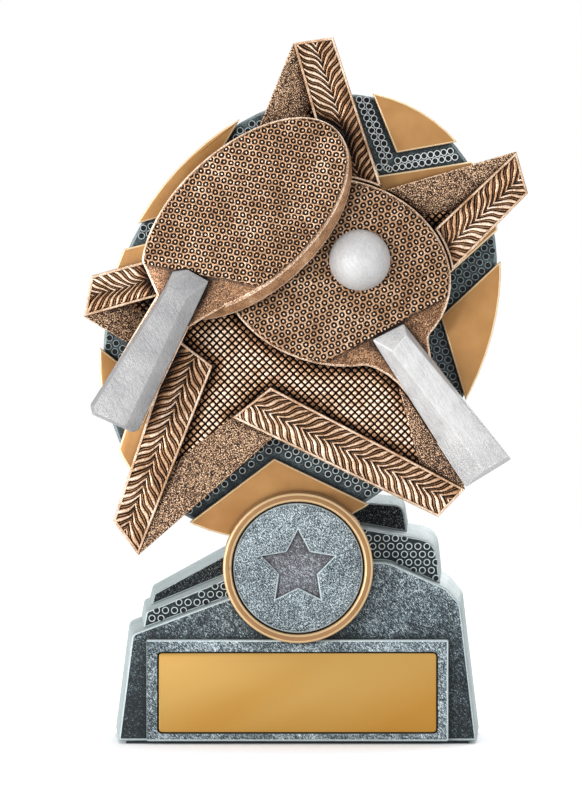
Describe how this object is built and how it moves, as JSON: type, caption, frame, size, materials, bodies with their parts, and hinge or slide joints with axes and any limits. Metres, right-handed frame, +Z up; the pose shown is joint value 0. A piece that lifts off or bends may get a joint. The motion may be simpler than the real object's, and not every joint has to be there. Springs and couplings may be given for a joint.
{
  "type": "table tennis star trophy",
  "caption": "Relief star trophy with crossed table tennis bats and a ball on an oval mesh plate, over a stepped base with a round medallion and a blank engraving plaque.",
  "frame": {"origin": "middle of the felt underside, on the surface that the trophy stands on", "axes": "+Z up, the front faces -Y, +X to the right as seen from the front"},
  "size_m": [0.0842, 0.0392, 0.1339],
  "materials": {
    "antique_silver": "cast resin in antiqued silver metallic paint: pale brushed highlights over slate grey",
    "tan_gold": "cast resin in satin tan gold metallic paint, brighter along its bevelled edges",
    "mesh_steel": "cast resin in dark blue-grey metallic paint with silver-dusted honeycomb rings",
    "antique_copper": "cast resin in antiqued copper metallic paint: light copper relief over dark brown recesses",
    "speckled_copper": "cast resin in antiqued copper metallic paint, finely speckled and darker inwards",
    "satin_silver": "cast resin in bright satin silver metallic paint",
    "plaque_gold": "thin gold anodised plate, softly brushed on a slant",
    "felt": "dark self-adhesive felt",
    "tape": "thin white double-sided foam tape"
  },
  "bodies": {
    "root": {"base_block": "antique_silver", "base_middle_step": "antique_silver", "base_rear_step": "antique_silver", "plaque_frame": "antique_silver", "medallion_insert": "antique_silver", "medallion_cup": "tan_gold", "rim_top_right": "tan_gold", "rim_right": "tan_gold", "rim_bottom": "tan_gold", "rim_left": "tan_gold", "rim_upper_left": "tan_gold", "star_backing": "tan_gold", "oval_plate": "mesh_steel", "star_field": "antique_copper", "ribbon_top": "antique_copper", "ribbon_right": "antique_copper", "ribbon_lower_right": "antique_copper", "ribbon_lower_left": "antique_copper", "ribbon_left": "antique_copper", "right_bat_blade": "antique_copper", "right_bat_rubber": "antique_copper", "left_bat_blade": "antique_copper", "left_bat_rubber": "antique_copper", "panel_top": "speckled_copper", "panel_right": "speckled_copper", "panel_lower_right": "speckled_copper", "panel_lower_left": "speckled_copper", "panel_left": "speckled_copper", "right_bat_handle": "satin_silver", "left_bat_handle": "satin_silver", "ball": "satin_silver", "plaque": "plaque_gold", "felt_pad": "felt", "plaque_tape": "tape", "medallion_tape": "tape"}
  },
  "joints": []
}
